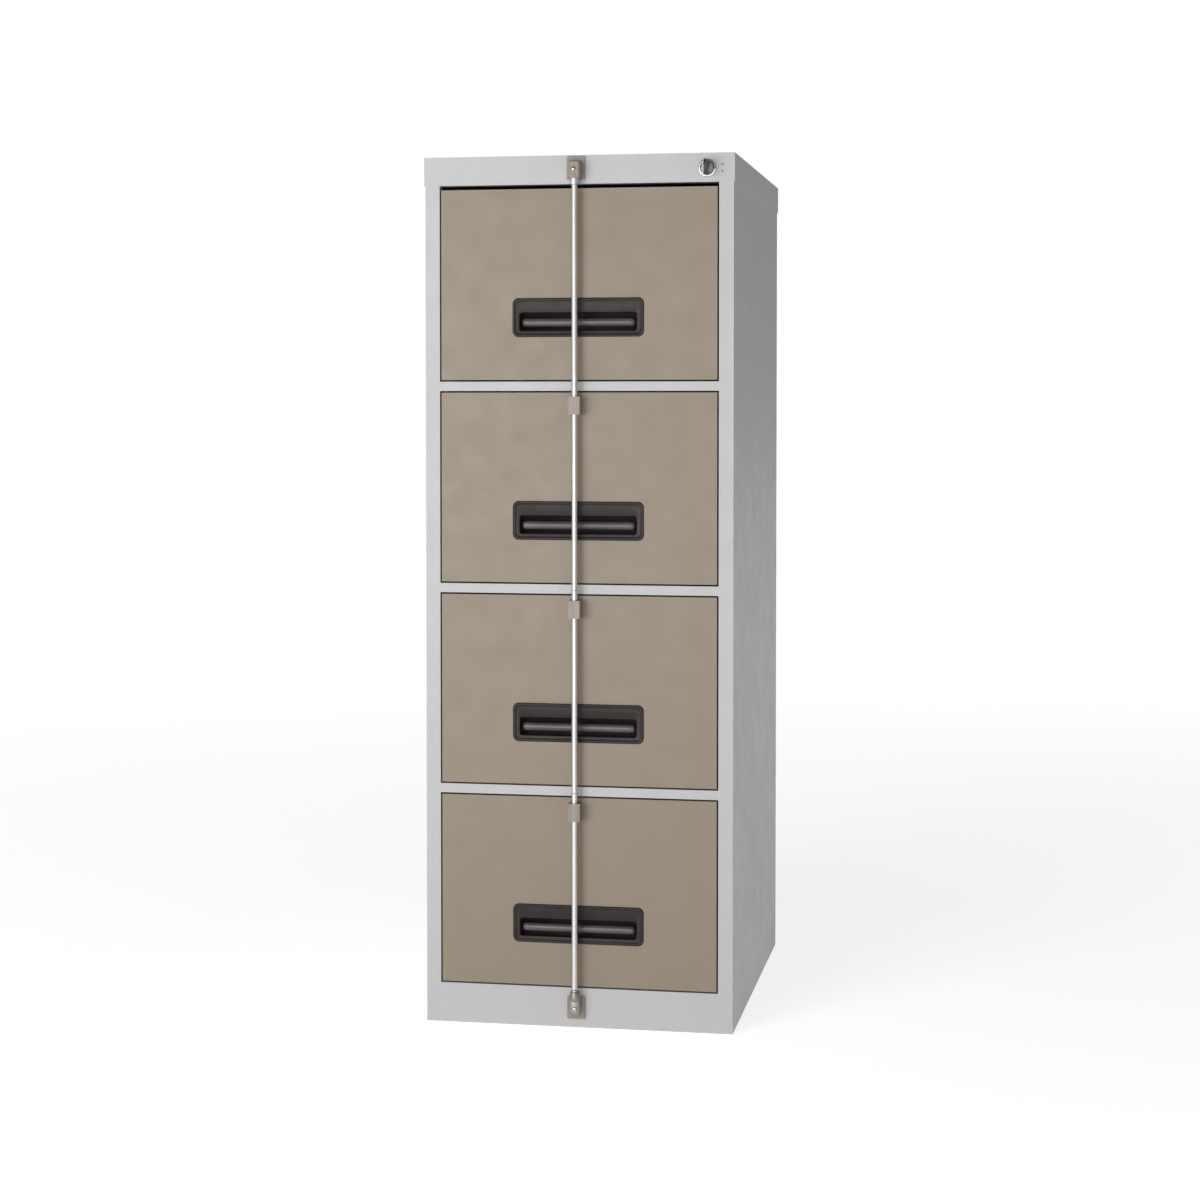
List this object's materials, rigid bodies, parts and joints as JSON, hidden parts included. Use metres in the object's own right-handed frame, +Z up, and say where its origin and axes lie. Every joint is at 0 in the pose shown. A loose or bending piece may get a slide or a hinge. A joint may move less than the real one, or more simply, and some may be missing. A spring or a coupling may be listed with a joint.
{
  "type": "filing cabinet",
  "caption": "Tall steel filing cabinet with sliding drawers, recessed pulls, a keyed lock and an upright locking bar down its front.",
  "frame": {"origin": "middle of the overall footprint, on the floor", "axes": "+Z up; the drawers face and open towards -Y; +X is to the user's right, the lock's side"},
  "size_m": [0.4754, 0.6456, 1.315],
  "materials": {
    "carcass_paint": "satin",
    "front_paint": "satin",
    "pull_plastic": "semi-gloss moulded",
    "bar_steel": "satin drawn",
    "fitting_paint": "satin",
    "zinc_steel": "zinc plated",
    "lock_chrome": "polished",
    "rivet_steel": "polished",
    "key_head": "moulded"
  },
  "bodies": {
    "root": {"side_panel_right": "carcass_paint", "side_panel_left": "carcass_paint", "back_panel": "carcass_paint", "top_cap": "carcass_paint", "top_rail": "carcass_paint", "cross_rails": "carcass_paint", "plinth": "carcass_paint", "floor_pan": "carcass_paint", "uprights": "carcass_paint", "cabinet_runners": "zinc_steel", "cap_screws": "rivet_steel", "bar_top_plate": "fitting_paint", "bar_top_block": "fitting_paint", "bar_collar": "bar_steel", "bar_bottom_plate": "fitting_paint", "bar_tongue": "bar_steel", "bar_rivets": "rivet_steel", "lock_housing": "lock_chrome"},
    "drawer_1": {"drawer_1_front": "front_paint", "drawer_1_inner_front": "carcass_paint", "drawer_1_tray": "carcass_paint", "drawer_1_back": "carcass_paint", "drawer_1_pull": "pull_plastic", "drawer_1_runners": "zinc_steel", "drawer_1_bar_length": "bar_steel"},
    "middle_1": {"drawer_1_middle_runners": "zinc_steel"},
    "drawer_2": {"drawer_2_front": "front_paint", "drawer_2_inner_front": "carcass_paint", "drawer_2_tray": "carcass_paint", "drawer_2_back": "carcass_paint", "drawer_2_pull": "pull_plastic", "drawer_2_runners": "zinc_steel", "drawer_2_bar_length": "bar_steel", "drawer_2_keeper": "fitting_paint"},
    "middle_2": {"drawer_2_middle_runners": "zinc_steel"},
    "drawer_3": {"drawer_3_front": "front_paint", "drawer_3_inner_front": "carcass_paint", "drawer_3_tray": "carcass_paint", "drawer_3_back": "carcass_paint", "drawer_3_pull": "pull_plastic", "drawer_3_runners": "zinc_steel", "drawer_3_bar_length": "bar_steel", "drawer_3_keeper": "fitting_paint"},
    "middle_3": {"drawer_3_middle_runners": "zinc_steel"},
    "drawer_4": {"drawer_4_front": "front_paint", "drawer_4_inner_front": "carcass_paint", "drawer_4_tray": "carcass_paint", "drawer_4_back": "carcass_paint", "drawer_4_pull": "pull_plastic", "drawer_4_runners": "zinc_steel", "drawer_4_bar_length": "bar_steel", "drawer_4_keeper": "fitting_paint"},
    "middle_4": {"drawer_4_middle_runners": "zinc_steel"},
    "lock_plug": {"lock_cylinder": "lock_chrome", "lock_cam": "zinc_steel"},
    "inserted_key": {"key": "key_head"},
    "inner_lock_bar": {"lock_bar": "zinc_steel", "lock_bar_arm": "zinc_steel"}
  },
  "joints": [
    {"name": "drawer_1_slide", "type": "slide", "parent": "root", "child": "drawer_1", "axis": [0, -1, 0], "range_m": [0, 0.48]},
    {"name": "middle_1_slide", "type": "slide", "parent": "root", "child": "middle_1", "axis": [0, -1, 0], "range_m": [0, 0.24]},
    {"name": "drawer_2_slide", "type": "slide", "parent": "root", "child": "drawer_2", "axis": [0, -1, 0], "range_m": [0, 0.48]},
    {"name": "middle_2_slide", "type": "slide", "parent": "root", "child": "middle_2", "axis": [0, -1, 0], "range_m": [0, 0.24]},
    {"name": "drawer_3_slide", "type": "slide", "parent": "root", "child": "drawer_3", "axis": [0, -1, 0], "range_m": [0, 0.48]},
    {"name": "middle_3_slide", "type": "slide", "parent": "root", "child": "middle_3", "axis": [0, -1, 0], "range_m": [0, 0.24]},
    {"name": "drawer_4_slide", "type": "slide", "parent": "root", "child": "drawer_4", "axis": [0, -1, 0], "range_m": [0, 0.48]},
    {"name": "middle_4_slide", "type": "slide", "parent": "root", "child": "middle_4", "axis": [0, -1, 0], "range_m": [0, 0.24]},
    {"name": "lock_turn", "type": "hinge", "parent": "root", "child": "lock_plug", "pos_m": [0.1953, -0.28875, 1.2925], "axis": [0, -1, 0], "range_deg": [0, 90]},
    {"name": "lock_bar_slide", "type": "slide", "parent": "root", "child": "inner_lock_bar", "axis": [0, 0, -1], "range_m": [0, 0.008]},
    {"name": "key_pull", "type": "slide", "parent": "lock_plug", "child": "inserted_key", "axis": [0, -1, 0], "range_m": [0, 0.03]}
  ],
  "couplings": [
    {"joint": "middle_1_slide", "follows": "drawer_1_slide", "ratio": 0.5},
    {"joint": "middle_2_slide", "follows": "drawer_2_slide", "ratio": 0.5},
    {"joint": "middle_3_slide", "follows": "drawer_3_slide", "ratio": 0.5},
    {"joint": "middle_4_slide", "follows": "drawer_4_slide", "ratio": 0.5},
    {"joint": "lock_turn", "follows": "lock_bar_slide", "rad_per_m": 196.35}
  ]
}
